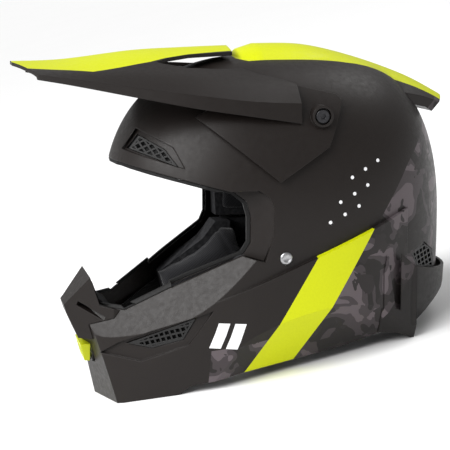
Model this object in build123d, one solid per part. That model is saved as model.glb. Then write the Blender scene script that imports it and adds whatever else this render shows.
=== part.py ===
from build123d import *
import math
import os

# Motocross helmet, full size, millimetres.
# Everything is laid out in the "worn" attitude: the front is -Y, the wearer's left is +X, +Z is up,
# Y = 0 lies at the back edge of the eyeport and Z = 0 at eye level.
# At the end every piece is tipped back onto its resting plane, the way it stands on a shelf.

# ---- driving dimensions -------------------------------------------------------------------------
REST_TILT = 13.0            # degrees the worn helmet tips back to stand on chin and rear spoiler
REST_Y, REST_Z = -112.0, -145.5     # lowest edge of the chin
FLAT_CUT = 0.6              # depth of the flats it stands on

SHELL_T = 4.0               # ABS shell wall
GAP = 0.4                   # assembly gap between nested pieces
RUN = 0.08                  # radial running clearance of a pivot
DOME_Y, DOME_Z = 48.0, 10.0         # widest point of the cranium
HALF_WIDTH = 121.0
FRONT_R, REAR_R, TOP_H = 156.0, 141.0, 142.0
LOW_H = 260.0               # how slowly the sides draw in below the widest point

HEAD_W, HEAD_R, HEAD_H = 84.0, 107.0, 106.0     # hollow in the foam: half width, half length, height
HEAD_Y = 42.0               # its middle
COMFORT_T = 9.0             # fabric liner

PIVOT_Y, PIVOT_Z = 61.0, 104.0      # visor side screws
ARM_GAP, ARM_T = 2.6, 2.4           # visor arm: clearance over the shell and thickness
SCREW_R, SCREW_HEAD_R = 3.0, 6.0
RIVET_Y, RIVET_Z = 28.0, -12.0      # chin strap rivets

STRAP_W, STRAP_T = 20.0, 1.8
STRAP_LEAN = 16.0           # degrees the strap's plane leans forward from the rivets
BUCKLE_Z = -99.4            # height of the strap at the buckle, before the lean
LEVER_PIN = (55.5, -108.0)  # (X, Z) of the release lever's pin, before the lean

# side outlines, (Y, Z)
EYEPORT = [(-230, 66), (-97, 62), (-57, 53), (-12, 42), (-2, 34), (1, 22), (1, 0), (-4, -10),
           (-46, -33), (-97, -64), (-118, -64), (-126, -37), (-230, -37)]
RIM = [(-230, -172), (-112, -145.5), (-57, -132.8), (-47, -123.5), (-4, -111), (40, -101),
       (80, -92), (104, -84), (128, -76), (230, -50)]
JAW_PLAN = [(0, -134), (20, -134), (44, -121), (72, -90), (98, -57), (111, -32), (121, -4),
            (126, 28), (127, 66), (122, 106), (0, 106)]
CHIN_FRONT = [(-112, -10), (-118, -38), (-134, -92), (-133, -99), (-118, -150), (-118, -200),
              (-260, -200), (-260, -10)]
COVER_SIDE = [(-124.5, -38), (-146, -64), (-143.5, -72), (-134.6, -92), (-116, -92), (-96, -74),
              (-98, -65), (-117, -62)]
COVER_PLAN = [(0, -150), (15, -150), (18, -143), (47, -106), (47, -92), (0, -92)]
BROW_VENT = [(-92, 74), (-84, 86), (-66, 76), (-57, 62)]
BROW_PLANE = ((42.2, -91.4, 73.8), (0.586, -0.781, 0.218))   # where the brow grille sits
JAW_VENT = [(-98, -90), (-44, -62), (-54, -82), (-78, -92)]
BEVEL_AREA = [(-60, 42), (6, 44), (15, 38), (18, 30), (18, 7), (11, -15), (-6, -11), (-60, -42)]
SLOPE_AREA = [(-240, -14), (-60, -8), (4, -8), (16, -24), (16, -70), (-40, -110), (-240, -110)]
BAND_X = 67.0               # the chamfer below the eyeport passes through (BAND_X, -70, -48)
REAR_VENT = [(143, -15), (158, -7), (170, -16), (173, -32), (150, -28)]
SPOILER = [(118.5, -1), (104, -64), (101, -80), (129, -81), (141, -86.3), (148, -86.3), (177, -58),
           (196, -41), (240, -38), (240, -33), (187, -33), (165, -29.5), (143.5, -24), (130, -13)]
CROWN_SIDE = [(4, 110), (4, 149), (10, 156.5), (24, 161), (68, 160), (114, 149.5), (161, 133),
              (194, 116), (194, 114), (170, 90), (80, 110)]
CROWN_FRONT = [(0, 90), (56, 90), (56, 136), (26, 162), (0, 162)]
CROWN_PLAN = [(0, 0), (30, 0), (50, 16), (54, 60), (46, 120), (24, 196), (0, 196)]
ARM = [(-42, 103), (23, 51), (66, 79), (72, 92), (82, 116), (78, 121), (20, 134), (-4, 126),
       (-26, 112)]

CORE_AREA = [(-50, -52), (-8, -22), (4, -6), (92, -6), (88, -74), (30, -80), (-40, -84)]
PAD_AREA = [(-54, -54), (-10, -24), (2, -8), (90, -8), (86, -72), (30, -78), (-44, -82)]

# visor sections: Y, then (X, Z) of centre, shoulder, crease and lower edge
VISOR = [(-190, (0, 147), (42, 143), (59, 141), (60, 137)),
         (-145, (0, 148.3), (50, 141.5), (73, 135.2), (74, 130.0)),
         (-84, (0, 155.6), (56, 143), (90, 127), (92, 118.5)),
         (-40, (0, 157.9), (64, 141), (101, 121.5), (103, 110.5)),
         (4, (0, 159.4), (70, 138), (107, 116.5), (109, 104)),
         (44, (0, 159.4), (76, 135), (106, 114.5), (108.5, 98))]
VISOR_T = 3.0
VISOR_PLAN = [(0, -187.7), (44, -176), (66, -169), (80, -160), (130, -160), (130, 44), (86, 44),
              (72, 16), (62, 2), (63, -20), (60, -44), (50, -64), (46, -68), (38, -57), (31, -38),
              (27, 1), (0, 1)]


# ---- helpers: every symmetric piece is drawn as its left half, X >= 0, and then completed ----------
def rest_line(y):
    return REST_Z + FLAT_CUT + math.tan(math.radians(REST_TILT)) * (y - REST_Y)


def outline_face(points, grow=0.0):
    face = make_face(Polyline(*points, close=True))
    return offset(face, grow, kind=Kind.INTERSECTION) if grow else face


def side_prism(outline, x0=0.0, x1=150.0, grow=0.0):
    """A (Y, Z) outline carried along X from x0 to x1."""
    face = outline_face(outline, grow)
    return Plane((x0, 0, 0), x_dir=(0, 1, 0), z_dir=(1, 0, 0)) * extrude(face, x1 - x0)


def plan_prism(outline, z0, z1, grow=0.0):
    """An (X, Y) outline carried up from z0 to z1."""
    return Pos(0, 0, z0) * extrude(outline_face(outline, grow), z1 - z0)


def front_prism(outline, y0, y1):
    """An (X, Z) outline carried along Y from y0 to y1."""
    face = outline_face(outline)
    return Plane((0, y1, 0), x_dir=(1, 0, 0), z_dir=(0, -1, 0)) * extrude(face, y1 - y0)


def x_rod(radius, x0, x1, y, z):
    return Pos((x0 + x1) / 2, y, z) * Rot(0, 90, 0) * Cylinder(radius, x1 - x0)


def y_rod(radius, y0, y1, x, z):
    return Pos(x, (y0 + y1) / 2, z) * Rot(90, 0, 0) * Cylinder(radius, y1 - y0)


def span(x0, x1, y0, y1, z0, z1):
    return Pos((x0 + x1) / 2, (y0 + y1) / 2, (z0 + z1) / 2) * Box(x1 - x0, y1 - y0, z1 - z0)


def other_side(shape):
    return mirror(shape, about=Plane.YZ)


def left_half(shape):
    return shape - span(-200, 0, -400, 400, -400, 400)


def whole(shape):
    """Both halves of a piece drawn on the left."""
    half = left_half(shape)
    return half + other_side(half)


def beyond(point, normal):
    """Everything outside a sloping plane."""
    return Plane(point, z_dir=normal) * (Pos(0, 0, 200) * Box(700, 700, 400))


def slab(point, normal, thick):
    """A flat sheet through a point."""
    return Plane(point, z_dir=normal) * Box(300, 300, thick)


def half_loop(half_width, front, rear, z, y_mid):
    """One level half section, fuller than an ellipse, front to back."""
    points = [(0, y_mid - front, z)]
    for i in range(1, FACETS):
        c, s = math.sin(math.pi * i / FACETS), -math.cos(math.pi * i / FACETS)
        reach, power = (rear, 2 / 2.4) if s > 0 else (front, 2 / 2.8)
        points.append((half_width * c ** (2 / 2.2),
                       y_mid + reach * math.copysign(abs(s) ** power, s), z))
    return points + [(0, y_mid + rear, z)]


def skinned(loops):
    """A solid between level half sections, closed by flats at both ends and at X = 0."""
    faces = [Face(Wire.make_polygon(loops[0])), Face(Wire.make_polygon(loops[-1]))]
    for low, high in zip(loops, loops[1:]):
        for a, b, c, d in zip(low, low[1:], high[1:], high):
            faces += [Face(Wire.make_polygon([a, b, c])), Face(Wire.make_polygon([a, c, d]))]
    flat = [p[0] for p in loops] + [p[-1] for p in reversed(loops)]
    return Solid(Shell(faces + [Face(Wire.make_polygon(flat))]))


FACETS = 14
RISE = [0.2, 0.38, 0.54, 0.67, 0.78, 0.87, 0.935, 0.98, 0.997]


def dome(inset):
    """The cranium's outer form, drawn in by inset; below the side ledge only its back remains."""
    loops = []
    top = TOP_H - inset
    for z in [-112 - inset, -92, -76, -60, -45, -16]:
        left = 1 - ((DOME_Z - z) / LOW_H) ** 2.5
        tuck = max(0, (-50 - z) / 100) ** 1.4
        loops.append(half_loop((HALF_WIDTH - inset) * left ** (1 / 2.2) * (1 - 0.35 * tuck),
                               (FRONT_R - inset) * left ** (1 / 2.8),
                               (REAR_R - inset) * left ** (1 / 2.4) * (1 - 0.65 * tuck),
                               z, DOME_Y))
    for t in [0.0] + RISE:
        left = 1 - t ** 2.3
        loops.append(half_loop((HALF_WIDTH - inset) * left ** (1 / 2.2),
                               (FRONT_R - inset) * left ** (1 / 2.8),
                               (REAR_R - inset) * left ** (1 / 3.6), DOME_Z + t * top, DOME_Y))
    below = [(-260, -45), (-32, -62), (96, -4), (96, -200), (-260, -200)]
    return skinned(loops) - Pos(0, -inset, -inset) * side_prism(below, -60, 150)


def head(inset):
    """The hollow for the head, drawn in by inset."""
    loops = [half_loop(HEAD_W - inset, HEAD_R - inset, HEAD_R - inset, -180, HEAD_Y)]
    for t in [0.0] + RISE:
        left = 1 - t ** 2.4
        loops.append(half_loop((HEAD_W - inset) * left ** (1 / 2.2),
                               (HEAD_R - inset) * left ** (1 / 2.8),
                               (HEAD_R - inset) * left ** (1 / 2.4),
                               DOME_Z + t * (HEAD_H - inset), HEAD_Y))
    return skinned(loops)


def jaw(inset):
    """Chin bar and jaw panel, drawn in by inset, below the eyeport and the side ledge."""
    plan = [(-60, -134)] + [(x, y) for x, y in JAW_PLAN if x] + [(-60, 106)]
    block = plan_prism(plan, -170 - inset, 40, -inset) & span(0, 200, -200, 200, -300, 60)
    over = 1 + 0.3 * inset
    above = [(-260, 60), (-260, -37 + over), (-126, -37 + over), (-97, -64 + over),
             (-46, -33 + over), (-32, -50 - inset), (104, 11 - inset), (160, 36 - inset), (160, 60)]
    block -= side_prism(above, -90, 150)
    block -= Pos(0, inset, 0) * side_prism(CHIN_FRONT, -90, 150)
    block -= beyond((30, -111.6 + inset, -143.5), (0.221, -0.952, -0.213))
    block -= beyond((118 - inset, 14, -80), (0.855, 0.116, -0.504))
    block -= beyond((74 - inset, -89, -118), (0.890, -0.395, -0.228))
    return block


def body(inset):
    """The left half of the helmet's form, drawn in by inset, chamfered around the eyeport."""
    bevel = beyond((104 - inset, -2, 0), (0.797, -0.603, 0))
    slope = beyond((BAND_X - inset, -70, -48), (0.60, -0.65, 0.47))
    solid = dome(inset) + jaw(inset) - (bevel & side_prism(BEVEL_AREA, grow=0.08 * inset))
    return solid - (slope & side_prism(SLOPE_AREA, grow=0.08 * inset))


def grille(outline, turn, pitch=4.4, hole=3.0):
    """A (Y, Z) outline pierced by slanted square holes, carried across the whole half."""
    face = outline_face(outline, -GAP)
    inner = outline_face(outline, -1.8)
    middle = face.center()
    spots = [loc for loc in GridLocations(pitch, pitch, 14, 10)]
    cells = Pos(middle.X, middle.Y) * Rot(0, 0, turn) * Compound([loc * Rectangle(hole, hole)
                                                                 for loc in spots])
    flat = face - (inner & cells)
    return Plane((0, 0, 0), x_dir=(0, 1, 0), z_dir=(1, 0, 0)) * extrude(flat, 150)


def webbing(points, y_mid, width, thick):
    """A flat strap along (X, Z) points, its width along Y."""
    outline = offset(Polyline(*points), thick / 2, side=Side.BOTH, kind=Kind.INTERSECTION)
    strap = extrude(make_face(outline), width)
    return Plane((0, y_mid + width / 2, 0), x_dir=(1, 0, 0), z_dir=(0, -1, 0)) * strap


# ---- shared forms -------------------------------------------------------------------------------
under_rest = side_prism([(y, rest_line(y)) for y in (-400, 400)] + [(400, -500), (-400, -500)],
                        -200, 200)
under_rim = side_prism(RIM + [(230, -300), (-230, -300)], -200, 200)
eyeport = side_prism(EYEPORT, -60, 200)
outside = body(0)
hollow = body(SHELL_T)
hollow += other_side(hollow)
inside = body(SHELL_T + GAP)
lining = body(SHELL_T + 2.4)
head_hollow = head(0) + other_side(head(0))

# ---- outer shell --------------------------------------------------------------------------------
crown = side_prism(CROWN_SIDE) & front_prism(CROWN_FRONT, -10, 210)
crown = (crown & plan_prism(CROWN_PLAN, 80, 170)) - dome(1.0)
wall = outside - hollow
shell = wall - under_rim - under_rest - eyeport
shell += crown
for outline, x0 in ((BROW_VENT, 30), (JAW_VENT, 50), (REAR_VENT, 40)):
    shell -= side_prism(outline, x0)
shell += x_rod(7, 86, 103.6, PIVOT_Y, PIVOT_Z)
shell = shell - x_rod(SCREW_R, 80, 110, PIVOT_Y, PIVOT_Z) - x_rod(2.6, 100, 130, RIVET_Y, RIVET_Z)
shell = shell - span(-1, 22.6, -140, -118, -114, -98) - x_rod(2.0, 90, 130, 119, -48)
outer_shell = whole(shell)

# ---- foam ---------------------------------------------------------------------------------------
foam_area = side_prism([(-140, 69), (-14, 50), (5, 38), (7, -2), (96, -2.2), (96, -54),
                        (215, -54), (215, 170), (-140, 170)], -60)
eps = (inside - head_hollow) & foam_area
duct = side_prism(BROW_VENT, 30, 150, 2.0) & slab(*BROW_PLANE, 16)
eps_liner = whole(eps - x_rod(8, 70, 110, PIVOT_Y, PIVOT_Z) - duct)
chin_area = side_prism([(-140, -44), (-98, -70), (-60, -92), (-60, -118), (-140, -138)], -60, 60)
foam_block = (inside & chin_area) - span(-60, 60, -106, -40, -200, 0) - under_rest
chin_foam = whole(foam_block - span(-60, 24, -140, -118, -116, -96))

liner_area = side_prism([(-80, 72), (-14, 54), (10, 40), (12, 2), (170, 2), (170, 140), (-80, 140)],
                        -60)
comfort_hollow = head(COMFORT_T) + other_side(head(COMFORT_T))
crown_liner = whole((head(GAP) - comfort_hollow) & liner_area)

# ---- cheek pads ---------------------------------------------------------------------------------
core = side_prism(CORE_AREA, 68, 98) & lining
pad = side_prism(PAD_AREA, 52, 67.6)
pad = chamfer(pad.faces().sort_by(Axis.X)[0].edges(), 6.0)
snaps = []
for y, z in ((-22, -60), (30, -34), (66, -60)):
    core -= x_rod(3, 60, 74, y, z)
    pad -= x_rod(6, 65.6, 70, y, z)
    snaps += [x_rod(6, 65.6, 67.6, y, z) + x_rod(3, 67.6, 72, y, z)]
ear_pocket = x_rod(26, 50, 90, 44, -8)
core -= ear_pocket
pad -= ear_pocket
roll_area = side_prism([(100, -60), (200, -60), (198, -70), (150, -73), (106, -72)], -60)
roll = (lining - head(-4) - other_side(head(-4))) & roll_area

# ---- rubber edging ------------------------------------------------------------------------------
edge_ring = side_prism(EYEPORT, -60, 140, -GAP) - side_prism(EYEPORT, -70, 150, -3.0)
eyeport_trim = whole(wall & edge_ring)
eps_clear = span(-1, 150, 90, 260, -56, 0)
band_area = side_prism([(y, z + 11) for y, z in RIM] + [(230, -300), (-230, -300)], -60)
band = (inside - lining - other_side(lining)) & band_area
band = band - under_rim - under_rest - side_prism(EYEPORT, -60, 150, 3.0) - eps_clear
base_trim = whole(band - side_prism(JAW_VENT, 40, 150, 2.0) - span(-30, 30, -150, -100, -118, 0))

# ---- visor --------------------------------------------------------------------------------------
rings = []
for y, (x0, z0), (x1, z1), (x2, z2), (x3, z3) in VISOR:
    ring = [(x0, z0), (x1, z1), (x2, z2), (x3, z3), (x3 - VISOR_T, z3), (x2 - 3.2, z2 - 2.2),
            (x1 - 0.8, z1 - VISOR_T), (x0, z0 - VISOR_T)]
    rings.append(Wire.make_polygon([(x, y, z) for x, z in ring]))
deck = Solid.make_loft(rings, ruled=True) & plan_prism(VISOR_PLAN, 60, 180)
arm = (dome(-ARM_GAP - ARM_T) - dome(-ARM_GAP)) & side_prism(ARM, 60)
arm -= x_rod(7.6, 60, 104.2, PIVOT_Y, PIVOT_Z)
hub = x_rod(9, 92, 111.4, PIVOT_Y, PIVOT_Z) - x_rod(7.6, 60, 104.2, PIVOT_Y, PIVOT_Z)
half_visor = deck + arm + (hub - dome(-ARM_GAP))
half_visor -= x_rod(SCREW_R + RUN, 90, 120, PIVOT_Y, PIVOT_Z)
half_visor -= x_rod(SCREW_HEAD_R + 0.6, 107.8, 125, PIVOT_Y, PIVOT_Z)
visor = whole(half_visor)

# ---- covers, vents, spoiler ---------------------------------------------------------------------
near = outside + Pos(0, -GAP, 0) * outside
cover = (side_prism(COVER_SIDE) & plan_prism(COVER_PLAN, -110, -30)) - near
slot = Plane((31, -123, -67), x_dir=(0.57, 0.73, -0.376), z_dir=(0.231, 0.296, 0.927)) * Box(30, 40, 4)
chin_cover = whole(cover - slot)

brow_mesh = grille(BROW_VENT, 30) & slab(*BROW_PLANE, 1.6)
jaw_mesh = grille(JAW_VENT, 20) & slab((65, -96, -80), (0.807, -0.590, 0.0), 1.6)
rear_mesh = grille(REAR_VENT, 15) & slab((84.45, 154.4, -20), (0.7175, 0.6966, 0), 1.6)
insert = front_prism([(0, -98.4), (22.2, -98.4), (19, -113.6), (0, -113.6)], -135, -124)
insert -= side_prism([(-140, -96), (-140, -120), (-128, -116), (-133, -97)], -10, 40)
insert = insert - span(4, 16, -140, -118, -110.5, -101.5)
mouth_vent_insert = whole(insert)
net = span(0, 22, -122.4, -121.2, -113.6, -98.4)
for i in range(5):
    for k in range(3):
        net -= span(1.6 + 4.1 * i, 4.5 + 4.1 * i, -130, -110, -111.6 + 4.4 * k, -108.6 + 4.4 * k)
mouth_vent_mesh = whole(net)

scoop = (body(-7) - outside - Pos(0, GAP, 0) * outside - Pos(GAP, 0, 0) * outside)
scoop = scoop & side_prism(SPOILER)
throat = side_prism([(110, 20), (124, -58), (146, -68), (166, -56), (186, -40), (240, -37),
                     (240, 20)], -10)
scoop -= (body(-4.4) & throat)
scoop = scoop - x_rod(2.2, 90, 130, 119, -48) - x_rod(4.4, 111.6, 130, 119, -48)
rear_spoiler = whole(scoop - under_rest)
bolt = x_rod(2.0, 105.0, 112.0, 119, -48) + x_rod(4.0, 112.0, 114.2, 119, -48)

# ---- retention ----------------------------------------------------------------------------------
def lean(shape):
    hinge = Pos(0, RIVET_Y, RIVET_Z)
    return hinge * Rot(-STRAP_LEAN, 0, 0) * hinge.inverse() * shape


bz = BUCKLE_Z
lx, lz = LEVER_PIN
rivet = x_rod(2.6, 111.0, 121.0, RIVET_Y, RIVET_Z) + x_rod(5.4, 121.0, 122.8, RIVET_Y, RIVET_Z)
anchor = span(111.2, 112.8, RIVET_Y - 12, RIVET_Y + 12, RIVET_Z - 7, RIVET_Z + 9)
anchor -= x_rod(2.6, 100, 130, RIVET_Y, RIVET_Z)

DROP = [(114.0, -6.5), (114.0, -24), (104, -74), (97, -92), (80, -97)]
left_run = webbing(DROP + [(58, bz), (54, bz)], RIVET_Y, STRAP_W, STRAP_T)
right_run = webbing(DROP + [(58, bz), (42, bz + 2.6), (14.6, bz + 2.8), (14.6, bz - 4.4),
                            (24, bz - 4.0), (36, bz + 0.5)], RIVET_Y, STRAP_W, STRAP_T)
rivet_hole = x_rod(2.6, 100, 130, RIVET_Y, RIVET_Z)
SLEEVE = [(92, -93.5), (80, -97), (68, -98.3)]
sleeve = webbing(SLEEVE, RIVET_Y, STRAP_W + 5, STRAP_T + 3.6)
sleeve -= webbing([(97, -92), (80, -97), (58, bz)], RIVET_Y, STRAP_W + 0.8, STRAP_T + 0.8)

housing = span(22, 60, RIVET_Y - 13, RIVET_Y + 13, bz - 5.5, bz + 3.5)
housing -= span(10, 51, RIVET_Y - 8.4, RIVET_Y + 8.4, bz - 2.4, bz + 1.8)
housing -= span(53, 70, RIVET_Y - 10.4, RIVET_Y + 10.4, bz - 1.4, bz + 1.4)
for y0 in (RIVET_Y - 13, RIVET_Y + 9.4):
    housing += span(lx - 5, 60, y0, y0 + 3.6, bz - 11.4, bz - 5)
housing -= y_rod(1.5, RIVET_Y - 20, RIVET_Y + 20, lx, lz)
lever = span(24, lx, RIVET_Y - 9, RIVET_Y + 9, bz - 9.9, bz - 6.5)
lever += y_rod(2.5, RIVET_Y - 9, RIVET_Y + 9, lx, lz)
lever = lever - y_rod(1.5 + RUN, 0, 60, lx, lz) - span(20, 27, 0, 60, bz - 7.5, bz)
pin = y_rod(1.5, RIVET_Y - 13, RIVET_Y + 13, lx, lz)
tongue = span(-12, 50, RIVET_Y - 8, RIVET_Y + 8, bz - 2.0, bz + 1.4)
for i in range(9):
    tongue -= span(16 + 3.6 * i, 17.6 + 3.6 * i, RIVET_Y - 6, RIVET_Y + 6, bz - 3, bz - 1.0)
tongue += span(-20, -8, RIVET_Y - 13, RIVET_Y + 13, bz - 2.0, bz + 1.4)
tongue -= span(-17.2, -12, RIVET_Y - 10.6, RIVET_Y + 10.6, bz - 5, bz + 5)

# ---- nodes --------------------------------------------------------------------------------------
left_nodes = {
    "cheek_core": core,
    "cheek_pad": pad,
    "brow_vent_mesh": brow_mesh,
    "jaw_vent_mesh": jaw_mesh,
    "rear_vent_mesh": rear_mesh,
    "strap_pad": lean(sleeve),
}
nodes = {
    "outer_shell": outer_shell,
    "eps_liner": eps_liner,
    "chin_foam": chin_foam,
    "crown_liner": crown_liner,
    "neck_roll": whole(roll),
    "eyeport_trim": eyeport_trim,
    "base_trim": base_trim,
    "visor": visor,
    "chin_cover": chin_cover,
    "mouth_vent_insert": mouth_vent_insert,
    "mouth_vent_mesh": mouth_vent_mesh,
    "rear_spoiler": rear_spoiler,
    "chin_strap_left": lean(left_run - rivet_hole),
    "chin_strap_right": other_side(lean(right_run - rivet_hole)),
    "buckle_housing": lean(housing),
    "buckle_lever": lean(lever),
    "lever_pin": lean(pin),
    "ladder_tongue": lean(tongue),
}
for name, shape in left_nodes.items():
    nodes[name + "_left"] = shape
    nodes[name + "_right"] = other_side(shape)
visor_screw = x_rod(SCREW_R, 86, 108.0, PIVOT_Y, PIVOT_Z)
visor_screw += x_rod(SCREW_HEAD_R, 108.0, 111.0, PIVOT_Y, PIVOT_Z)
visor_screw -= x_rod(2.0, 109.4, 112, PIVOT_Y, PIVOT_Z)
for name, parts in (("visor_screws", [visor_screw]), ("strap_rivets", [rivet]),
                    ("strap_anchors", [anchor]), ("spoiler_screws", [bolt]),
                    ("cheek_snaps", snaps)):
    pieces = parts + [other_side(part) for part in parts]
    nodes[name] = pieces[0].fuse(*pieces[1:])

# ---- stand it on the table and write the files --------------------------------------------------
tilt = Rot(-REST_TILT, 0, 0)
floor = (tilt * Pos(0, 0, rest_line(0))).position.Z
box = Compound([(tilt * shape) for shape in nodes.values()]).bounding_box()
place = Pos(0, -(box.min.Y + box.max.Y) / 2, -floor) * tilt
os.makedirs("parts", exist_ok=True)
for name, shape in nodes.items():
    export_step(place * shape, f"parts/{name}.step")
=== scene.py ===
import bmesh
import bpy
import math
from mathutils import Matrix, Vector


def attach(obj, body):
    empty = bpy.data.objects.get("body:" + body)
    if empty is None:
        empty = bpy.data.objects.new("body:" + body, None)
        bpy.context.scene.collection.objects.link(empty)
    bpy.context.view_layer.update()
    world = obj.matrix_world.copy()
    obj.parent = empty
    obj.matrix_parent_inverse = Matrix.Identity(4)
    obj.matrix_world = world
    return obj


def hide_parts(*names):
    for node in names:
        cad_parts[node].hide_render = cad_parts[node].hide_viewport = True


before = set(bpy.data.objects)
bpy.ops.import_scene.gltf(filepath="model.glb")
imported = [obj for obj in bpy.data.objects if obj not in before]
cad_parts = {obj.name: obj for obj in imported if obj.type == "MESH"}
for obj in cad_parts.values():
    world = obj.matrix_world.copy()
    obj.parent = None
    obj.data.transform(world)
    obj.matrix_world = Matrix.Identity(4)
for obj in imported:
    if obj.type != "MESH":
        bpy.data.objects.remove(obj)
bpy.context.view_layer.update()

# Motocross helmet. Every new piece is drawn in the worn attitude, in millimetres: the front is -Y,
# the wearer's left is +X, Y = 0 lies at the back edge of the eyeport and Z = 0 at eye level.
# piece() then tips it back onto the table, where the CAD stands, and paint is laid out worn too.
MM = 0.001
TILT = math.radians(-13)
WORN = Matrix.Translation((0, -0.0292336, 0.1159917)) @ Matrix.Rotation(TILT, 4, "X")
TO_WORN = WORN.inverted()
scene = bpy.context.scene

# ---- side outlines, (Y, Z) ------------------------------------------------------------------------
EYEPORT = [(-230, 66), (-97, 62), (-57, 53), (-12, 42), (-2, 34), (1, 22), (1, 0), (-4, -10),
           (-46, -33), (-97, -64), (-118, -64), (-126, -37), (-230, -37)]
RIM = [(-230, -172), (-112, -145.5), (-57, -132.8), (-47, -123.5), (-4, -111), (40, -101),
       (80, -92), (104, -84), (128, -76), (230, -50)]
JAW_PLAN = [(20, -134), (44, -121), (72, -90), (98, -57), (111, -32), (121, -4), (126, 28),
            (127, 66), (124, 96), (116, 118), (104, 137)]
CHIN_FRONT = [(-112, -10), (-118, -38), (-134, -92), (-133, -99), (-118, -150), (-118, -200),
              (-260, -200), (-260, -10)]
COVER_SIDE = [(-124.5, -38), (-146, -64), (-143.5, -72), (-134.6, -92), (-116, -92), (-96, -74),
              (-98, -65), (-117, -62)]
COVER_PLAN = [(15, -150), (18, -143), (47, -106), (47, -92)]
BROW_VENT = [(-92, 74), (-84, 86), (-66, 76), (-57, 62)]
JAW_RECESS = [(-118, -101), (-104, -90), (-78, -77), (-31, -56), (-50, -86), (-87, -104)]
BROW_RECESS = [(-96, 73), (-85, 91), (-60, 78), (-52, 61)]
JAW_VENT = [(-98, -90), (-44, -62), (-54, -82), (-78, -92)]
BEVEL_AREA = [(-60, 42), (6, 44), (15, 38), (18, 30), (18, 7), (11, -15), (-6, -11), (-60, -42)]
SLOPE_AREA = [(-240, -14), (-60, -8), (4, -8), (16, -24), (16, -70), (-40, -110), (-240, -110)]
JAW_BACK = [(-104, -92), (-40, -58), (-52, -86), (-80, -97)]
BROW_BACK = [(-94, 74), (-84, 88), (-64, 78), (-55, 60)]
REAR_VENT = [(143, -15), (158, -7), (170, -16), (173, -32), (150, -28)]
THROAT = [(110, 20), (124, -58), (146, -68), (166, -56), (186, -40), (240, -37), (240, 20)]
SPOILER = [(118.5, -1), (104, -64), (101, -80), (129, -81), (141, -86.3), (148, -86.3), (177, -58),
           (196, -41), (240, -38), (240, -33), (187, -33), (165, -29.5), (143.5, -24), (130, -13)]
MOUTH_VENT = [(-140, -114), (-118, -114), (-118, -98), (-140, -98)]
CROWN_TOP = [(4, 149), (10, 156.5), (24, 161), (68, 160), (114, 149.5), (161, 133), (194, 116)]
TAIL_START = 110   # from here back the crown ridge narrows and flattens
UNDER_TAIL = [(196, 116.5), (160, 80.5), (240, 80.5), (240, 116.5)]
# the crown ridge in section: X, and how far it has dropped below the ridge line
CROWN_ARCH = [(0, 0), (7, 0.5), (14, 1.9), (21, 4.3), (28, 7.9), (35, 13.2), (42, 18.2), (50, 24.6),
              (60, 34)]
CROWN_PLAN = [(34, 0), (58, 16), (58, 60), (50, 120), (24, 196)]
ARM = [(-42, 103), (23, 51), (66, 79), (72, 92), (82, 116), (78, 121), (20, 134), (-4, 126),
       (-26, 112)]
# visor stations: Y, then (X, Z) of centre, shoulder, crease and lower edge
VISOR = [(-190, (0, 147), (42, 143), (59, 141), (60, 137)),
         (-145, (0, 148.3), (50, 141.5), (73, 135.2), (74, 130.0)),
         (-84, (0, 155.6), (56, 143), (90, 127), (92, 118.5)),
         (-40, (0, 157.9), (64, 141), (101, 121.5), (103, 110.5)),
         (4, (0, 159.4), (70, 138), (107, 116.5), (109, 104)),
         (44, (0, 159.4), (76, 135), (106, 114.5), (108.5, 98))]
VISOR_PLAN = [(44, -176), (66, -169), (80, -160), (130, -160), (130, 44), (86, 44),
              (72, 16), (62, 2), (63, -20), (60, -44), (50, -64), (46, -68), (38, -57), (31, -38),
              (27, 1)]
PIVOT = (61, 104)   # the peak's side screws
RIVET = (28, -12)   # the strap rivets
LEAN = math.radians(-16)   # the straps hang forward by this much
WIDE = 200          # further out than anything, for cutters
BOX_FACES = [(0, 1, 3, 2), (4, 5, 7, 6), (0, 1, 5, 4), (2, 3, 7, 6), (0, 2, 6, 4), (1, 3, 7, 5)]


# ---- solid modelling --------------------------------------------------------------------------------
def closed(points, faces):
    """A closed mesh from points in millimetres, its faces turned outward."""
    bm = bmesh.new()
    verts = [bm.verts.new([c * MM for c in p]) for p in points]
    for face in faces:
        bm.faces.new([verts[i] for i in face])
    bmesh.ops.recalc_face_normals(bm, faces=bm.faces)
    mesh = bpy.data.meshes.new("solid")
    bm.to_mesh(mesh)
    bm.free()
    return mesh


def prism(outline, low, high, place):
    n = len(outline)
    points = [place(u, v, w) for w in (low, high) for u, v in outline]
    faces = [list(range(n)), list(range(n, 2 * n))]
    faces += [[i, (i + 1) % n, (i + 1) % n + n, i + n] for i in range(n)]
    return closed(points, faces)


def side(outline, low=-160, high=160):
    return prism(outline, low, high, lambda y, z, x: (x, y, z))


def plan(half, low, high):
    """A left outline (X, Y) from front to back, completed on the right."""
    outline = list(half) + [(-x, y) for x, y in reversed(half)]
    return prism(outline, low, high, lambda x, y, z: (x, y, z))


def beyond(point, normal):
    """Everything outside a sloping plane."""
    turn = Vector(normal).to_track_quat("Z", "Y").to_matrix()
    corners = [(x, y, z) for z in (0, 400) for y in (-350, 350) for x in (-350, 350)]
    points = [Vector(point) + turn @ Vector(c) for c in corners]
    return closed(points, BOX_FACES)


def rod(radius, x0, x1, y, z, steps=48):
    ring = [(y + radius * math.cos(2 * math.pi * i / steps),
             z + radius * math.sin(2 * math.pi * i / steps)) for i in range(steps)]
    return side(ring, x0, x1)


def flip(mesh):
    """The same solid on the other side."""
    copy = mesh.copy()
    copy.transform(Matrix.Scale(-1, 4, (1, 0, 0)))
    copy.flip_normals()
    return copy


def moved(mesh, x, y, z):
    copy = mesh.copy()
    copy.transform(Matrix.Translation((x * MM, y * MM, z * MM)))
    return copy


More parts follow.
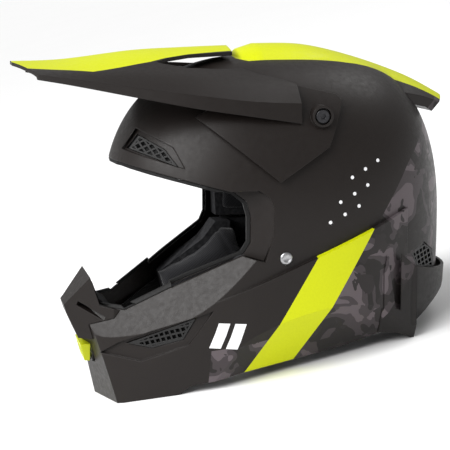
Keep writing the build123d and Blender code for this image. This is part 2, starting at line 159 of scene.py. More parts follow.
def boolean(a, b, operation):
    first, second = (bpy.data.objects.new("solid", mesh) for mesh in (a, b))
    for ob in (first, second):
        scene.collection.objects.link(ob)
    step = first.modifiers.new("step", "BOOLEAN")
    step.operation, step.object, step.solver = operation, second, "MANIFOLD"
    graph = bpy.context.evaluated_depsgraph_get()
    mesh = bpy.data.meshes.new_from_object(first.evaluated_get(graph))
    for ob in (first, second):
        bpy.data.objects.remove(ob)
    return mesh


def cut(a, *others):
    for b in others:
        a = boolean(a, b, "DIFFERENCE")
    return a


def cut_both(a, *others):
    for b in others:
        a = cut(a, b, flip(b))
    return a


def join(a, *others):
    for b in others:
        a = boolean(a, b, "UNION")
    return a


def common(a, b):
    return boolean(a, b, "INTERSECT")


def merged(*meshes):
    """Separate solids in one mesh."""
    bm = bmesh.new()
    for mesh in meshes:
        bm.from_mesh(mesh)
    mesh = bpy.data.meshes.new("solid")
    bm.to_mesh(mesh)
    bm.free()
    return mesh


def flowing(points, steps=6):
    """A smooth curve through points."""
    out = []
    ends = [points[0]] + list(points) + [points[-1]]
    for i in range(1, len(ends) - 2):
        p0, p1, p2, p3 = (Vector(p) for p in ends[i - 1:i + 3])
        for k in range(steps):
            t = k / steps
            out.append(tuple(0.5 * (2 * p1 + (p2 - p0) * t + (2 * p0 - 5 * p1 + 4 * p2 - p3) * t ** 2
                                    + (3 * p1 - p0 - 3 * p2 + p3) * t ** 3)))
    return out + [tuple(points[-1])]


def softened(points, times=2):
    """Corners cut twice, ends kept."""
    for _ in range(times):
        out = [points[0]]
        for (ax, ay), (bx, by) in zip(points, points[1:]):
            out += [(ax * 0.75 + bx * 0.25, ay * 0.75 + by * 0.25),
                    (ax * 0.25 + bx * 0.75, ay * 0.25 + by * 0.75)]
        points = out + [points[-1]]
    return points


def inward(points, depth):
    """A left plan outline drawn in by depth."""
    out = []
    for i, p in enumerate(points):
        a = Vector(points[max(i - 1, 0)])
        b = Vector(points[min(i + 1, len(points) - 1)])
        along = (b - a).normalized()
        out.append((p[0] - along.y * depth, p[1] + along.x * depth))
    out[0] = (points[0][0], points[0][1] + depth)
    out[-1] = (points[-1][0] - depth, points[-1][1] - depth)
    return out


# ---- the helmet's form ------------------------------------------------------------------------------
DOME_Y, DOME_Z, HALF_WIDTH = 48, 10, 121
FRONT_R, REAR_R, TOP_H, LOW_H = 156, 141, 142, 260
SHELL_T, RECESS_DEPTH = 4, 2.4
CROWN_SEAT = 1.0              # how far the crown ridge sinks into the shell
SCOOP_OUTER, SCOOP_INNER = 7, 4.4   # the scoop's two faces, out from the shell
GAP = 0.4                     # between the shell and what is mounted on it
ROUND = 72


def loop(width, reach_front, reach_rear, z):
    """One level of the cranium, squarer at the front than at the back."""
    half = []
    for i in range(ROUND + 1):
        c, s = math.sin(math.pi * i / ROUND), -math.cos(math.pi * i / ROUND)
        reach, power = (reach_rear, 2 / 2.4) if s > 0 else (reach_front, 2 / 2.8)
        half.append((width * max(c, 0) ** (2 / 2.2),
                     DOME_Y + reach * math.copysign(abs(s) ** power, s), z))
    half[0] = (0, half[0][1], z)
    half[-1] = (0, half[-1][1], z)
    return half + [(-x, y, z) for x, y, z in reversed(half[1:-1])]


def skinned(loops):
    """A closed solid over a row of loops with equal numbers of points."""
    n = len(loops[0])
    faces = [list(range(n)), [(len(loops) - 1) * n + i for i in range(n)]]
    for k in range(len(loops) - 1):
        faces += [[k * n + i, k * n + (i + 1) % n, (k + 1) * n + (i + 1) % n, (k + 1) * n + i]
                  for i in range(n)]
    return closed([p for ring in loops for p in ring], faces)


def dome(inset):
    """The cranium's outer form, drawn in by inset; below the side ledge only its back remains."""
    loops = []
    bottom = -112 - inset
    for k in range(26):
        z = bottom + (DOME_Z - bottom) * k / 26
        left = 1 - ((DOME_Z - z) / LOW_H) ** 2.5
        tuck = max(0, (-50 - z) / 100) ** 1.4
        loops.append(loop((HALF_WIDTH - inset) * left ** (1 / 2.2) * (1 - 0.35 * tuck),
                          (FRONT_R - inset) * left ** (1 / 2.8),
                          (REAR_R - inset) * left ** (1 / 2.4) * (1 - 0.65 * tuck), z))
    for k in range(33):
        t = min(math.sin(math.pi / 2 * k / 32), 0.9998)
        left = 1 - t ** 2.3
        loops.append(loop((HALF_WIDTH - inset) * left ** (1 / 2.2),
                          (FRONT_R - inset) * left ** (1 / 2.8),
                          (REAR_R - inset) * left ** (1 / 3.6),
                          DOME_Z + t * (TOP_H - inset)))
    below = [(-260, -45), (-32, -62), (96, -4), (96, -200), (-260, -200)]
    return cut(skinned(loops), side([(y - inset, z - inset) for y, z in below]))


def jaw(inset):
    """Chin bar and jaw panel, below the eyeport and the side ledge."""
    block = plan(inward(softened(JAW_PLAN), inset), -170 - inset, 40)
    over = 1 + 0.3 * inset
    above = [(-260, 60), (-260, -37 + over), (-126, -37 + over), (-97, -64 + over),
             (-46, -33 + over), (-32, -50 - inset), (104, 11 - inset), (160, 36 - inset), (160, 60)]
    block = cut(block, side(above), side([(y + inset, z) for y, z in CHIN_FRONT]))
    block = cut_both(block, beyond((30, -111.6 + inset, -143.5), (0.221, -0.952, -0.213)))
    return cut_both(block, beyond((118 - inset, 14, -80), (0.855, 0.116, -0.504)),
                    beyond((74 - inset, -89, -118), (0.890, -0.395, -0.228)))


def body(inset):
    """Cranium and jaw together, with the flats beside and below the eyeport."""
    bevel = common(beyond((104 - inset, -2, 0), (0.797, -0.603, 0)), side(BEVEL_AREA, 0))
    slope = common(beyond((67 - inset, -70, -48), (0.60, -0.65, 0.47)), side(SLOPE_AREA, 0))
    return cut_both(join(dome(inset), jaw(inset)), bevel, slope)


def rest_line(y):
    """Z of the table top at Y."""
    return -144.9 + math.tan(-TILT) * (y + 112)


under_rest = side([(-400, rest_line(-400)), (400, rest_line(400)), (400, -500), (-400, -500)],
                  -WIDE, WIDE)
outside = body(0)

# the shell
crown_loops = []
for y, top in CROWN_TOP[:2] + flowing(CROWN_TOP[2:]):
    low = min(110, top - 16) - max(0, y - 150) * 0.2
    tail = max(0, y - TAIL_START) / (CROWN_TOP[-1][0] - TAIL_START)
    arch = [(x * (1 - 0.3 * tail), top - drop * (1 - 0.35 * tail)) for x, drop in CROWN_ARCH]
    half = arch + [(arch[-1][0], low)]
    crown_loops.append([(x, y, z) for x, z in half + [(-x, z) for x, z in reversed(half) if x]])
crown = common(skinned(crown_loops), plan([CROWN_PLAN[0]] + flowing(CROWN_PLAN[1:]), 60, 170))
crown = cut(crown, side(UNDER_TAIL, -WIDE, WIDE))
shell = cut(outside, body(SHELL_T), side(RIM + [(230, -300), (-230, -300)], -WIDE, WIDE),
            under_rest, side(EYEPORT, -WIDE, WIDE))
shell = join(shell, cut(crown, dome(CROWN_SEAT)))
inner_skin = body(RECESS_DEPTH)
for outline, x0 in ((JAW_RECESS, 30), (BROW_RECESS, 30)):
    shell = cut_both(shell, cut(side(outline, x0), inner_skin))
for outline, x0 in ((BROW_VENT, 30), (JAW_VENT, 50), (REAR_VENT, 40)):
    shell = cut_both(shell, side(outline, x0))
shell = cut(shell, side(MOUTH_VENT, -22.6, 22.6))

# chin cover
cover = common(side(COVER_SIDE, -60, 60), plan(COVER_PLAN, -110, -30))
cover = cut(cover, moved(outside, 0, -GAP, 0))
slot_run, slot_up = Vector((0.57, 0.73, -0.376)), Vector((0.231, 0.296, 0.927))
slot_in = slot_run.cross(slot_up)
slot = closed([Vector((31, -123, -67)) + slot_run * a + slot_in * b + slot_up * c
               for c in (-2, 2) for b in (-20, 20) for a in (-15, 15)], BOX_FACES)
cover = cut_both(cover, slot)

# rear spoiler
scoop = common(cut(body(-SCOOP_OUTER), body(-GAP)), side(SPOILER, -WIDE, WIDE))
scoop = cut(scoop, common(body(-SCOOP_INNER), side(THROAT, -WIDE, WIDE)), under_rest)
# its front fades into the jaw panel
scoop = cut_both(scoop, beyond((118.6, 111, 0), (0.974, 0.225, 0)),
                 beyond((105.2, 111, -80), (0.847, -0.153, -0.499)))


# visor
def visor_deck():
    """The peak's plate: a skin over the stations, crowned between the centre and the shoulder."""
    rows = flowing([tuple([s[0]] + [c for p in s[1:] for c in p]) for s in VISOR], 10)
    loops = []
    for y, x0, z0, x1, z1, x2, z2, x3, z3 in rows:
        arch = []
        for k in range(9):
            t = k / 8
            arch.append((x1 * t, z0 + (z1 - z0) * (0.35 * t + 0.65 * t * t)))
        top = arch + [(x1 + (x2 - x1) * t, z1 + (z2 - z1) * (t - 0.12 * math.sin(math.pi * t)))
                      for t in (0.25, 0.5, 0.75)] + [(x2, z2), (x3, z3)]
        low = [(x3 - 3, z3), (x2 - 3.4, z2 - 2.4)]
        low += [(x - 0.6 * min(x / 40, 1), z - 3) for x, z in reversed(top[1:-2])]
        half = top + low + [(0, z0 - 3)]
        ring = half + [(-x, z) for x, z in reversed(half[1:-1])]
        loops.append([(x, y, z) for x, z in ring])
    return skinned(loops)


deck = common(visor_deck(), plan([(12, -187)] + VISOR_PLAN, 60, 180))
arms = cut(dome(-5.0), dome(-2.6))
arms = merged(common(arms, side(ARM, 60, 140)), common(arms, side(ARM, -140, -60)))
visor = join(deck, arms)
hub = cut(rod(9, 92, 111.4, *PIVOT), rod(7.6, 60, 104.2, *PIVOT))
visor = join(visor, hub, flip(hub))
visor = cut_both(visor, rod(6.9, 107.6, 125, *PIVOT), rod(3.1, 60, 125, *PIVOT))


# ---- materials --------------------------------------------------------------------------------------
def lin(r, g, b):
    return tuple((c / 12.92 if c <= 0.04045 else ((c + 0.055) / 1.055) ** 2.4)
                 for c in (r / 255, g / 255, b / 255)) + (1,)


BLACK, WHITE = lin(40, 36, 35), lin(236, 236, 238)
# the two tones that a paint drifts between
MATTE_BLACK = (lin(25, 21, 19), lin(31, 26, 24))
LEMON_YELLOW = (lin(194, 202, 0), lin(206, 213, 2))
# painted graphics, in (Y, Z) seen from the left
DOTS = [(109.5, 66.3), (97.5, 59.8), (85.3, 53.4), (99, 46.6), (86.9, 40), (74.4, 33.5),
        (90.7, 29.7), (78.2, 23.2), (65.5, 16.9)]
DOT_RADIUS = 1.5
BAR_STARTS, BAR_WIDE, BAR_LEAN, BAR_LOW, BAR_TOP = (-34, -21), 9, 7, -88, -66
# the peak's yellow field: Y, half width
VISOR_FIELD = [(-190, 41), (-174.6, 44), (-142.4, 52), (-123.1, 60), (-72.7, 45), (-59.3, 38),
               (-38.1, 30), (-2, 24), (44, 22)]


class Paint:
    """A small builder for one material's nodes."""

    def __init__(self, name, colour, roughness, specular=0.4, metallic=0.0, sheen=0.0):
        self.material = bpy.data.materials.new(name)
        self.material.use_nodes = True
        self.tree = self.material.node_tree
        self.nodes = self.tree.nodes
        self.shader = self.nodes["Principled BSDF"]
        for socket, value in (("Base Color", colour), ("Roughness", roughness),
                              ("Specular IOR Level", specular), ("Metallic", metallic),
                              ("Sheen Weight", sheen)):
            self.shader.inputs[socket].default_value = value
        worn = self.nodes.new("ShaderNodeMapping")
        worn.inputs["Location"].default_value = TO_WORN.to_translation()
        worn.inputs["Rotation"].default_value = TO_WORN.to_euler()
        self.put(worn.inputs["Vector"], self.nodes.new("ShaderNodeTexCoord").outputs["Object"])
        self.where = worn.outputs[0]

    def put(self, target, value):
        if hasattr(value, "is_output"):
            self.tree.links.new(value, target)
        else:
            target.default_value = value

    def math(self, operation, a, b=0.0, c=0.0):
        node = self.nodes.new("ShaderNodeMath")
        node.operation = operation
        for target, value in zip(node.inputs, (a, b, c)):
            self.put(target, value)
        return node.outputs[0]

    def dot(self, vector):
        node = self.nodes.new("ShaderNodeVectorMath")
        node.operation = "DOT_PRODUCT"
        self.put(node.inputs[0], self.where)
        node.inputs[1].default_value = vector
        return node.outputs["Value"]

    def axis(self, index):
        return self.dot([1.0 if i == index else 0.0 for i in range(3)])

    def left_of(self, a, b):
        """1 on the left of the line from a to b, in (Y, Z) millimetres seen from the left side."""
        (y0, z0), (y1, z1) = a, b
        ny, nz = -(z1 - z0), (y1 - y0)
        return self.math("GREATER_THAN", self.dot((0, ny, nz)), (ny * y0 + nz * z0) * MM)

    def every(self, *tests):
        out = tests[0]
        for test in tests[1:]:
            out = self.math("MULTIPLY", out, test)
        return out

    def any(self, *tests):
        out = tests[0]
        for test in tests[1:]:
            out = self.math("MAXIMUM", out, test)
        return out

    def inside(self, corners):
        """1 inside a convex outline given in (Y, Z) counter-clockwise as seen from the left side."""
        return self.every(*[self.left_of(a, b) for a, b in zip(corners, corners[1:] + corners[:1])])

    def spot(self, y, z, radius):
        """1 within radius of (Y, Z) in millimetres, seen from either side."""
        node = self.nodes.new("ShaderNodeVectorMath")
        node.operation = "MULTIPLY_ADD"
        self.put(node.inputs[0], self.where)
        node.inputs[1].default_value = (0, 1, 1)
        node.inputs[2].default_value = (0, -y * MM, -z * MM)
        far = self.nodes.new("ShaderNodeVectorMath")
        far.operation = "LENGTH"
        self.put(far.inputs[0], node.outputs[0])
        return self.math("LESS_THAN", far.outputs["Value"], radius * MM)

    def noise(self, scale, detail=2.0, roughness=0.5, distortion=0.0):
        node = self.nodes.new("ShaderNodeTexNoise")
        self.put(node.inputs["Vector"], self.where)
        node.inputs["Scale"].default_value = scale
        node.inputs["Detail"].default_value = detail
        node.inputs["Roughness"].default_value = roughness
        node.inputs["Distortion"].default_value = distortion
        return node.outputs["Fac"]

    def cells(self, scale):
        node = self.nodes.new("ShaderNodeTexVoronoi")
        self.put(node.inputs["Vector"], self.where)
        node.inputs["Scale"].default_value = scale
        return node.outputs["Distance"]

    def mix(self, factor, a, b):
        node = self.nodes.new("ShaderNodeMix")
        node.data_type = "RGBA"
        self.put(node.inputs["Factor"], factor)
        self.put(node.inputs[6], a)
        self.put(node.inputs[7], b)
        return node.outputs[2]

    def between(self, value, low, high, to_low=0.0, to_high=1.0):
        node = self.nodes.new("ShaderNodeMapRange")
        for target, v in zip(node.inputs, (value, low, high, to_low, to_high)):
            self.put(target, v)
        return node.outputs[0]

    def colour(self, value):
        self.put(self.shader.inputs["Base Color"], value)

    def rough(self, value):
        self.put(self.shader.inputs["Roughness"], value)

    def relief(self, height, distance, strength=1.0, edge=0.0):
        bump = self.nodes.new("ShaderNodeBump")
        bump.inputs["Strength"].default_value = strength
        bump.inputs["Distance"].default_value = distance
        self.put(bump.inputs["Height"], height)
        if edge:
            bevel = self.nodes.new("ShaderNodeBevel")
            bevel.samples = 4
            bevel.inputs["Radius"].default_value = edge
            self.put(bump.inputs["Normal"], bevel.outputs[0])
        self.put(self.shader.inputs["Normal"], bump.outputs[0])

    def lacquer(self, smooth, dull, edge):
        """A matt sprayed finish: roughness that wanders, fine orange peel and softened edges."""
        self.rough(self.between(self.noise(240, 3), 0.3, 0.7, smooth, dull))
        self.relief(self.noise(1400, 2), 0.00006, 1.0, edge)

    def camo(self):
        """Grey blots in three tones, with darker spots over them."""
        blot = self.noise(26, 2.5, 0.55, 0.5)
        spot = self.noise(60, 2.0, 0.5, 0.6)
        tone = self.mix(self.math("GREATER_THAN", blot, 0.485), lin(33, 30, 29), lin(60, 54, 56))
        tone = self.mix(self.math("GREATER_THAN", blot, 0.56), tone, lin(88, 80, 83))
        return self.mix(self.math("GREATER_THAN", spot, 0.585), tone, lin(40, 36, 36))


def shell_paint():
    p = Paint("shell_paint", BLACK, 0.42, 0.25)
    across = p.math("ABSOLUTE", p.axis(0))
    under_ledge = p.left_of((103, 10.6), (50, -12.5))
    band = p.every(under_ledge, p.left_of((53.2, -12.7), (14.3, -80.2)),
                   p.left_of((39.2, -100.5), (103.1, 10.7)))
    behind_band = p.every(under_ledge, p.left_of((103.1, 10.7), (39.2, -100.5)))
    behind_cape = p.every(p.left_of((140, 62), (105.3, 9.6)), p.left_of((187, 116), (140, 62)),
                          p.left_of((103, 9.6), (300, 9.6)))
    tone = p.mix(p.noise(900, 2), *MATTE_BLACK)
    low_jaw = p.every(p.left_of((14.3, -80.2), (-60, -97)), p.left_of((-30, -40), (-34, -140)))
    tone = p.mix(p.any(behind_band, behind_cape, low_jaw), tone, p.camo())
    lemon = p.mix(p.noise(600, 2), *LEMON_YELLOW)
    stripe = p.every(p.math("LESS_THAN", across,
                            p.between(p.axis(1), 0.10, 0.185, 0.0355, 0.0225)),
                     p.math("GREATER_THAN", p.axis(1), 0.0045),
                     p.left_of((100, 128), (192, 108)))
    tone = p.mix(p.any(band, stripe), tone, lemon)
    dots = [p.spot(y, z, DOT_RADIUS) for y, z in DOTS]
    bars = [p.inside([(y, BAR_LOW), (y + BAR_WIDE, BAR_LOW), (y + BAR_WIDE + BAR_LEAN, BAR_TOP),
                      (y + BAR_LEAN, BAR_TOP)]) for y in BAR_STARTS]
    outer = p.math("GREATER_THAN", across, 0.09)
    tone = p.mix(p.every(p.any(*dots, *bars), outer), tone, WHITE)
    p.colour(tone)
    p.lacquer(0.36, 0.48, 0.0013)
    return p.material


def visor_paint():
    p = Paint("visor_paint", BLACK, 0.42, 0.25)
    across, y = p.math("ABSOLUTE", p.axis(0)), p.axis(1)
    limit = VISOR_FIELD[0][1] * MM
    for (y0, x0), (y1, x1) in zip(VISOR_FIELD, VISOR_FIELD[1:]):
        step = p.between(y, y0 * MM, y1 * MM, 0.0, (x1 - x0) * MM)
        limit = p.math("ADD", limit, step)
    top = p.math("GREATER_THAN", p.axis(2), 0.1345)
    lemon = p.mix(p.noise(600, 2), *LEMON_YELLOW)
    dark = p.mix(p.noise(900, 2), *MATTE_BLACK)
    facing = p.nodes.new("ShaderNodeNewGeometry")
    up = p.nodes.new("ShaderNodeVectorMath")
    up.operation = "DOT_PRODUCT"
    p.put(up.inputs[0], facing.outputs["True Normal"])
    up.inputs[1].default_value = (0, 0.225, 0.974)
    p.colour(p.mix(p.every(p.math("LESS_THAN", across, limit), top,
                           p.math("GREATER_THAN", up.outputs["Value"], 0.1)), dark, lemon))
    p.lacquer(0.36, 0.48, 0.001)
    return p.material


def spoiler_paint():
    p = Paint("spoiler_paint", BLACK, 0.46, 0.25)
    dark = p.mix(p.noise(900, 2), lin(26, 24, 23), lin(32, 29, 28))
    p.colour(p.mix(p.left_of((101, -84), (144.5, -24)), dark, p.camo()))
    p.lacquer(0.40, 0.52, 0.0012)
    return p.material


def plastic(name, low, high, roughness, grain, depth, edge=0.0008, specular=0.4):
    p = Paint(name, low, roughness, specular)
    p.colour(p.mix(p.noise(700, 2), low, high))
    p.rough(p.between(p.noise(300, 3), 0.3, 0.7, roughness - 0.05, roughness + 0.06))
    p.relief(p.noise(grain, 3), depth, 1.0, edge)
    return p.material


def metal(name, low, high, roughness):
    p = Paint(name, low, roughness, 0.5, 1.0)
    p.colour(p.mix(p.noise(500, 3), low, high))
    p.rough(p.between(p.noise(900, 3), 0.3, 0.7, roughness - 0.06, roughness + 0.08))
    p.relief(p.noise(2500, 2), 0.00002, 1.0, 0.0004)
    return p.material


def foam(name):
    p = Paint(name, lin(50, 50, 52), 0.85, 0.2)
    beads = p.cells(320)
    # painted shade: the colour darkens towards each bead's edge, where the bump sinks, and is lighter
    # on the bead tops
    p.colour(p.mix(beads, lin(60, 60, 62), lin(34, 34, 36)))
    p.relief(p.math("SUBTRACT", 1.0, beads), 0.0005)
    return p.material


def fabric(name, low, high, knit=1100):
    p = Paint(name, low, 0.9, 0.2, sheen=0.25)
    threads = p.math("MULTIPLY",
                     p.math("SINE", p.math("MULTIPLY", p.dot((0.7, 1, 0.2)), knit * 2.2)),
                     p.math("SINE", p.math("MULTIPLY", p.dot((-0.3, 0.2, 1)), knit * 2.2)))
    # painted shade: lighter on the raised threads and darker in the dips between them, following the
    # same relief
    p.colour(p.mix(p.between(threads, -1.0, 1.0), low, high))
    p.relief(threads, 0.0002, 0.8)
    return p.material


def webbing_weave():
    p = Paint("webbing_weave", lin(24, 24, 25), 0.8, 0.3, sheen=0.2)
    rib = p.math("SINE", p.math("MULTIPLY", p.axis(1), 4600.0))
    pick = p.math("SINE", p.math("MULTIPLY", p.dot((1, 0, 1)), 3000.0))
    weave = p.math("MULTIPLY", rib, pick)
    # painted shade: lighter where the weave rises and darker where it sinks, following the same relief
    p.colour(p.mix(p.between(weave, -1.0, 1.0), lin(16, 16, 17), lin(38, 38, 40)))
    p.relief(weave, 0.0002)
    return p.material


SHELL = shell_paint()
VISOR_MAT = visor_paint()
TRIM = plastic("matte_trim", *MATTE_BLACK, 0.46, 1100, 0.00008, specular=0.25)
RUBBER = plastic("rubber_edging", lin(12, 12, 12), lin(18, 17, 17), 0.55, 1600, 0.0001, specular=0.2)
LEMON = plastic("yellow_plastic", *LEMON_YELLOW, 0.42, 1200, 0.00006)
MESH_MAT = plastic("grille_plastic", lin(18, 18, 18), lin(26, 25, 25), 0.4, 1400, 0.00005, 0.0003)
BUCKLE = plastic("buckle_plastic", lin(22, 22, 23), lin(30, 30, 31), 0.4, 1300, 0.00006)
LEVER = plastic("lever_plastic", lin(150, 20, 18), lin(168, 26, 22), 0.4, 1300, 0.00006)
STEEL = metal("brushed_steel", lin(150, 150, 152), lin(188, 188, 190), 0.32)
SCREW = metal("blackened_steel", lin(52, 52, 54), lin(70, 70, 72), 0.4)
FOAM = foam("bead_foam")
FILTER = fabric("vent_filter_mesh", lin(8, 8, 8), lin(16, 16, 16), 1500)
LINER = fabric("liner_knit", lin(26, 26, 28), lin(44, 44, 47))
WEBBING = webbing_weave()


# ---- pieces -----------------------------------------------------------------------------------------
def piece(name, mesh, ride, slot_name, material, *nodes, sharp=24):
    """Makes an object of a mesh drawn worn, and moves that mesh onto the table."""
    mesh.transform(WORN)
    mesh.materials.clear()
    mesh.materials.append(material)
    mesh.polygons.foreach_set("use_smooth", [True] * len(mesh.polygons))
    mesh.polygons.foreach_set("material_index", [0] * len(mesh.polygons))
    mesh.set_sharp_from_angle(angle=math.radians(sharp))
    mesh.update()
    ob = bpy.data.objects.new(name, mesh)
    scene.collection.objects.link(ob)
    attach(ob, ride)
    if nodes:
        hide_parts(*nodes)
    return ob


piece("shell_skin", shell, "helmet", "shell_black", SHELL, "outer_shell")
piece("chin_cover_skin", cover, "helmet", "trim_black", TRIM, "chin_cover")
piece("spoiler_skin", scoop, "helmet", "trim_black", spoiler_paint(), "rear_spoiler")
vent_pad = cut(body(5.2), body(7.0))
for outline, x0, name in ((JAW_BACK, 50, "jaw"), (BROW_BACK, 30, "brow")):
    sheet = common(vent_pad, side(outline, x0))
    piece(f"{name}_vent_filter", merged(sheet, flip(sheet)), "helmet", "foam_grey", FILTER)
piece("visor_skin", visor, "peak", "visor_yellow", VISOR_MAT, "visor")


def node_mesh(name):
    """A CAD node's mesh, moved into the worn attitude."""
    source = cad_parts[name]
    mesh = source.data.copy()
    mesh.transform(TO_WORN @ source.matrix_world)
    return mesh


PUFF_FRAMES = 20


def settled(ob):
    """The object's mesh with its modifiers applied."""
    graph = bpy.context.evaluated_depsgraph_get()
    return bpy.data.meshes.new_from_object(ob.evaluated_get(graph))


def puffed(name, cap, voxel=0.0045, pressure=4.0, shrink=0.0008):
    """A CAD soft solid stuffed by cloth under pressure, no point moving further than cap."""
    ob = bpy.data.objects.new("puff", node_mesh(name))
    scene.collection.objects.link(ob)
    ob.data.materials.clear()
    mesh_step = ob.modifiers.new("even", "REMESH")
    mesh_step.mode, mesh_step.voxel_size = "VOXEL", voxel
    inset = ob.modifiers.new("inset", "DISPLACE")
    inset.strength, inset.mid_level = -shrink, 0.0
    base = settled(ob)
    ob.modifiers.clear()
    ob.data = base
    before = [v.co.copy() for v in base.vertices]
    cloth = ob.modifiers.new("cloth", "CLOTH")
    cloth.settings.use_pressure = True
    cloth.settings.uniform_pressure_force = pressure
    cloth.settings.effector_weights.gravity = 0
    cloth.settings.tension_stiffness = 20
    for f in range(1, PUFF_FRAMES + 1):
        scene.frame_set(f)
    after = settled(ob)
    ob.modifiers.clear()
    for v, b in zip(after.vertices, before):
        move = v.co - b
        if move.length > cap:
            v.co = b + move.normalized() * cap
    ob.data = after
    scene.frame_set(1)
    smooth = ob.modifiers.new("ease", "SMOOTH")
    smooth.iterations = 2
    ob.modifiers.new("fine", "SUBSURF").levels = 1
    mesh = settled(ob)
    bpy.data.objects.remove(ob)
    return mesh


def sewn(mesh, seams, depth=1.4, width=1.6):
    """Pulls the surface in along seams, each a distance in millimetres from a point."""
    mesh.update()
    moves = []
    for v in mesh.vertices:
        x, y, z = (c / MM for c in v.co)
        near = min(abs(seam(x, y, z)) for seam in seams)
        moves.append(v.normal * (-depth * MM * math.exp(-(near / width) ** 2)))
    for v, move in zip(mesh.vertices, moves):
        v.co += move
    mesh.update()
    return mesh


for name in ("left", "right"):
    pad = sewn(puffed(f"cheek_pad_{name}", 0.004),
               [lambda x, y, z: abs(x) - 62, lambda x, y, z: (y - 18) * 0.9 + (z + 40) * 0.45])
    piece(f"cheek_cushion_{name}", pad, "helmet", "liner_fabric", LINER,
                    f"cheek_pad_{name}", sharp=180)
crown_pad = sewn(puffed("crown_liner", 0.003),
                 [lambda x, y, z: abs(x) - 26, lambda x, y, z: (y - 60) if abs(x) < 26 else 99])
piece("crown_cushion", crown_pad, "helmet", "liner_fabric", LINER, "crown_liner",
                sharp=180)
roll_pad = sewn(puffed("neck_roll", 0.003, 0.004), [lambda x, y, z: z + 64])
piece("neck_roll_cushion", roll_pad, "helmet", "liner_fabric", LINER, "neck_roll",
                sharp=180)

# ---- straps -----------------------------------------------------------------------------------------
HINGE = Matrix.Translation((0, RIVET[0] * MM, RIVET[1] * MM))
LEANED = HINGE @ Matrix.Rotation(LEAN, 4, "X") @ HINGE.inverted()
BZ = -99.4   # the height of the straps at the buckle


def band(path, width, thick, hollow=None):
    """A flat strap along an (X, Z) path, its width along Y, with rounded, slightly thicker edges."""
    path = softened([tuple(p) for p in path], 3)
    rings = []
    for i, p in enumerate(path):
        a, b = Vector(path[max(i - 1, 0)]), Vector(path[min(i + 1, len(path) - 1)])
        out = (b - a).normalized()
        nx, nz = -out.y, out.x
        for w, t in ((width, thick),) if hollow is None else ((width, thick), hollow):
            ring = []
            for k in range(20):
                turn = 2 * math.pi * k / 20
                u = math.copysign(abs(math.cos(turn)) ** 0.3, math.cos(turn)) * w / 2
                v = math.copysign(abs(math.sin(turn)) ** 0.5, math.sin(turn)) * t / 2
                ring.append((p[0] + nx * v, RIVET[0] + u, p[1] + nz * v))
            rings.append(ring)
    if hollow is None:
        mesh = skinned(rings)
    else:
        mesh = cut(skinned(rings[::2]), longer(rings[1::2]))
    mesh.transform(LEANED)
    return mesh


def longer(rings):
    """Inner rings with both ends pushed out, so that the bore goes right through."""
    first = [tuple(2 * a - b for a, b in zip(p, q)) for p, q in zip(rings[0], rings[1])]
    last = [tuple(2 * a - b for a, b in zip(p, q)) for p, q in zip(rings[-1], rings[-2])]
    return skinned([first] + rings + [last])


DROP = [(114.0, -6.5), (114.0, -24), (104, -74), (97, -92), (80, -97)]
left_strap = band(DROP + [(58, BZ), (54, BZ)], 20, 1.8)
right_strap = flip(band(DROP + [(58, BZ), (42, BZ + 2.6), (14.6, BZ + 2.8), (13.4, BZ - 0.8),
                                (14.6, BZ - 4.4), (24, BZ - 4.0), (36, BZ + 0.5)], 20, 1.8))
piece("chin_web_left", left_strap, "helmet", "webbing_black", WEBBING, "chin_strap_left", sharp=60)
piece("chin_web_right", right_strap, "helmet", "webbing_black", WEBBING, "chin_strap_right", sharp=60)
sleeve = band([(92, -93.5), (80, -97), (68, -98.3)], 25, 5.4, (20.9, 2.7))
for mesh, name in ((sleeve, "left"), (flip(sleeve), "right")):
    piece(f"strap_sleeve_{name}", mesh, "helmet", "liner_fabric", LINER,
                    f"strap_pad_{name}", sharp=60)


# ---- turned hardware --------------------------------------------------------------------------------
def turned(profile, y, z, steps=64):
    """A part turned about the X axis from (X, radius) points, closed on the axis at both ends."""
    rings = [[(x, y + r * math.cos(2 * math.pi * i / steps), z + r * math.sin(2 * math.pi * i / steps))
              for i in range(steps)] for x, r in profile]
    return skinned(rings)


rivet = turned([(111.0, 2.6), (121.0, 2.6), (121.02, 5.3), (121.3, 5.4), (122.0, 5.1), (122.6, 4.3),
                (122.8, 3.2), (122.3, 2.5), (121.9, 1.0)], *RIVET)
piece("strap_rivet_heads", merged(rivet, flip(rivet)), "helmet", "steel", STEEL, "strap_rivets")
bolt = turned([(86, 3), (108, 3), (108.02, 5.9), (110.4, 5.9), (111.0, 5.2), (111.0, 3.6)], *PIVOT)
bolt = cut(bolt, rod(2.6, 109.0, 112, *PIVOT, steps=6))   # the hexagon socket
piece("visor_pivot_screws", merged(bolt, flip(bolt)), "helmet", "screw_dark", SCREW, "visor_screws")

# ---- CAD pieces that keep their shape ---------------------------------------------------------------
KEPT = {
    "eps_liner": FOAM, "chin_foam": FOAM, "cheek_core_left": FOAM, "cheek_core_right": FOAM,
    "eyeport_trim": RUBBER, "base_trim": RUBBER, "mouth_vent_insert": LEMON,
    "mouth_vent_mesh": MESH_MAT, "brow_vent_mesh_left": MESH_MAT, "brow_vent_mesh_right": MESH_MAT,
    "jaw_vent_mesh_left": MESH_MAT, "jaw_vent_mesh_right": MESH_MAT,
    "rear_vent_mesh_left": MESH_MAT, "rear_vent_mesh_right": MESH_MAT,
    "buckle_housing": BUCKLE, "buckle_lever": LEVER, "lever_pin": STEEL, "ladder_tongue": STEEL,
    "strap_anchors": STEEL, "spoiler_screws": SCREW, "cheek_snaps": BUCKLE,
}
for name, material in KEPT.items():
    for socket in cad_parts[name].material_slots:
        socket.material = material

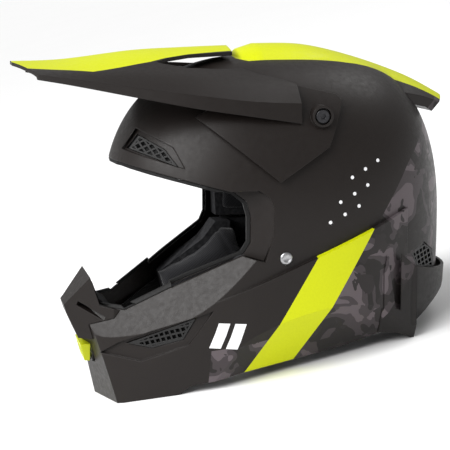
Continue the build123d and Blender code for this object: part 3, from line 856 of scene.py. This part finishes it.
# ---- floor, light and camera ------------------------------------------------------------------------
floor_mesh = bpy.data.meshes.new("floor")
floor_mesh.from_pydata([(-30, -30, 0), (30, -30, 0), (30, 30, 0), (-30, 30, 0)], [], [(0, 1, 2, 3)])
floor = bpy.data.objects.new("floor", floor_mesh)
scene.collection.objects.link(floor)
pale = Paint("pale_floor", (0.9, 0.9, 0.9, 1), 0.9, 0.1)
pale.colour(pale.mix(pale.noise(3, 2), (0.90, 0.90, 0.90, 1), (0.92, 0.92, 0.92, 1)))
floor_mesh.materials.append(pale.material)

world = bpy.data.worlds.new("studio")
world.use_nodes = True
world.node_tree.nodes["Background"].inputs["Color"].default_value = (1, 1, 1, 1)
world.node_tree.nodes["Background"].inputs["Strength"].default_value = 0.42
scene.world = world
scene.view_settings.view_transform = "Standard"


def aimed(name, data, place, target):
    """A light at place, turned to face target."""
    ob = bpy.data.objects.new(name, data)
    ob.matrix_basis = (Matrix.Translation(place)
                       @ (Vector(place) - Vector(target)).to_track_quat("Z", "Y").to_matrix().to_4x4())
    scene.collection.objects.link(ob)
    return ob


sun = bpy.data.lights.new("sun", "SUN")
sun.energy, sun.angle = 2.9, math.radians(50)
aimed("sun", sun, (0.55, -0.75, 0.95), (0, 0, 0))
for name, strength, size, place in (("key", 22, 1.2, (-0.1, -1.5, 1.7)),
                                    ("back", 10, 1.2, (-0.6, 1.5, 1.8))):
    lamp = bpy.data.lights.new(name, "AREA")
    lamp.shape, lamp.size, lamp.energy = "DISK", size, strength
    aimed(name, lamp, place, (0, 0, 0.14))

eye = Vector((1.4581, -0.2834, 0.2088))
right = Vector((0.19081, 0.98163, 0))
back = eye.normalized()
up = back.cross(right)
lens = bpy.data.cameras.new("camera")
lens.sensor_width, lens.lens = 36, 134.8
lens.clip_end = 100
camera = bpy.data.objects.new("camera", lens)
camera.matrix_basis = WORN @ (Matrix.Translation(eye) @ Matrix(
    (right, up, back)).transposed().to_4x4())
scene.collection.objects.link(camera)
scene.camera = camera
